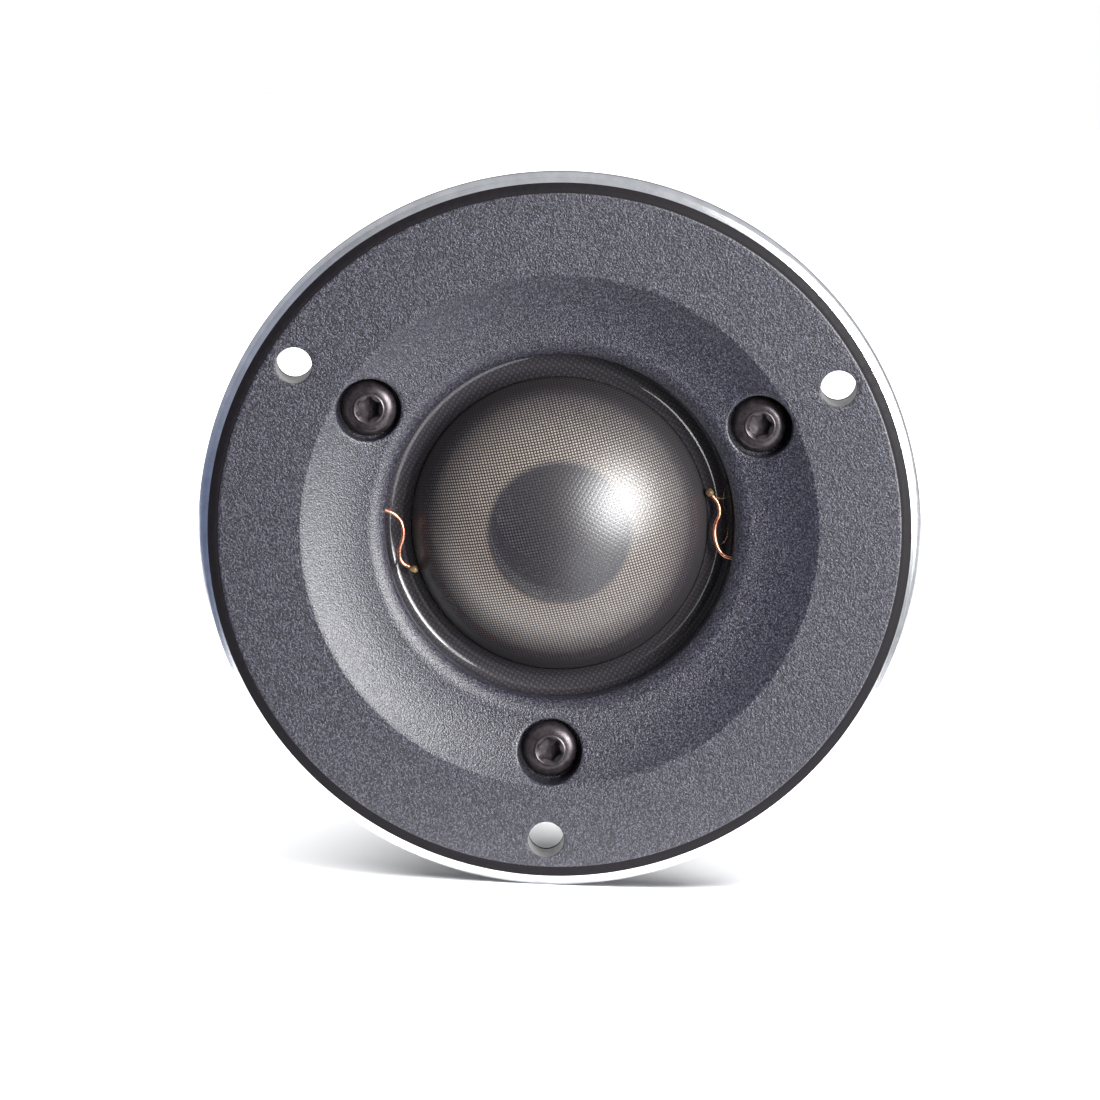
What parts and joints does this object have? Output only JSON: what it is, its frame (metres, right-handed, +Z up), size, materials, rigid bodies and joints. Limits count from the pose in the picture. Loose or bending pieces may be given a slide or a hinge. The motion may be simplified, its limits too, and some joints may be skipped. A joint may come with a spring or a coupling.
{
  "type": "car tweeter",
  "caption": "Soft-dome car tweeter: a round textured faceplate with a dished recess, a woven dome with visible coil leads, and a sealed neodymium motor with tab terminals behind.",
  "frame": {"origin": "centre of the flange's rear face, on the dome's axis, where the circle of mounting holes is centred", "axes": "the dome faces -Y, +Y points back into the panel, +Z is up with one mounting hole straight down, and +X is to the right seen from the front"},
  "size_m": [0.072, 0.0421, 0.072],
  "materials": {
    "plate_coat": "black textured powder coat on aluminium, with a smooth black band and a bare turned rim",
    "black_steel": "black oxide, satin",
    "gasket_foam": "closed-cell foam",
    "dome_fabric": "open woven fabric with a clear tacky coating",
    "surround_fabric": "woven fabric with a glossy black coating",
    "former_foil": "bright foil",
    "coil_wire": "copper-clad aluminium wire, enamelled",
    "adhesive": "amber glue",
    "copper": "bare copper",
    "solder": "bright solder",
    "brass": "satin",
    "carrier_plastic": "moulded, matte",
    "plated_steel": "zinc-plated, turned",
    "magnet_nickel": "nickel-plated",
    "pole_felt": "pressed tan felt",
    "barrel_aluminium": "turned, clear anodised",
    "cup_aluminium": "bead-blasted, clear anodised",
    "wool": "loose wool",
    "red_insulation": "silicone, satin",
    "black_insulation": "silicone, satin",
    "board_laminate": "glass-fibre laminate, satin black",
    "zinc_steel": "zinc-plated",
    "tinned_brass": "tin-plated"
  },
  "bodies": {
    "frame": {"faceplate": "plate_coat", "faceplate_screws": "black_steel", "flange_gasket": "gasket_foam", "surround": "surround_fabric", "coil_lead_left": "copper", "coil_lead_right": "copper", "lead_solder": "solder", "lead_eyelets": "brass", "carrier_ring": "carrier_plastic", "top_plate": "plated_steel", "magnet_ring": "magnet_nickel", "back_plate": "plated_steel", "pole_piece": "plated_steel", "copper_cap": "copper", "pole_felt": "pole_felt", "motor_barrel": "barrel_aluminium", "chamber_gasket": "gasket_foam", "chamber_cup": "cup_aluminium", "chamber_screws": "black_steel", "chamber_wool": "wool", "hookup_wire_positive": "red_insulation", "hookup_wire_negative": "black_insulation", "terminal_board": "board_laminate", "terminal_board_screws": "zinc_steel", "terminal_positive": "tinned_brass", "terminal_negative": "tinned_brass", "terminal_rivets": "brass"},
    "diaphragm": {"dome": "dome_fabric", "coil_former": "former_foil", "coil_winding": "coil_wire", "lead_glue": "adhesive"}
  },
  "joints": [
    {"name": "diaphragm_travel", "type": "slide", "parent": "frame", "child": "diaphragm", "axis": [0, -1, 0], "range_m": [-0.0005, 0.0005], "stiffness_N_per_m": 1000, "deforming": ["surround", "coil_lead_left", "coil_lead_right"]}
  ]
}
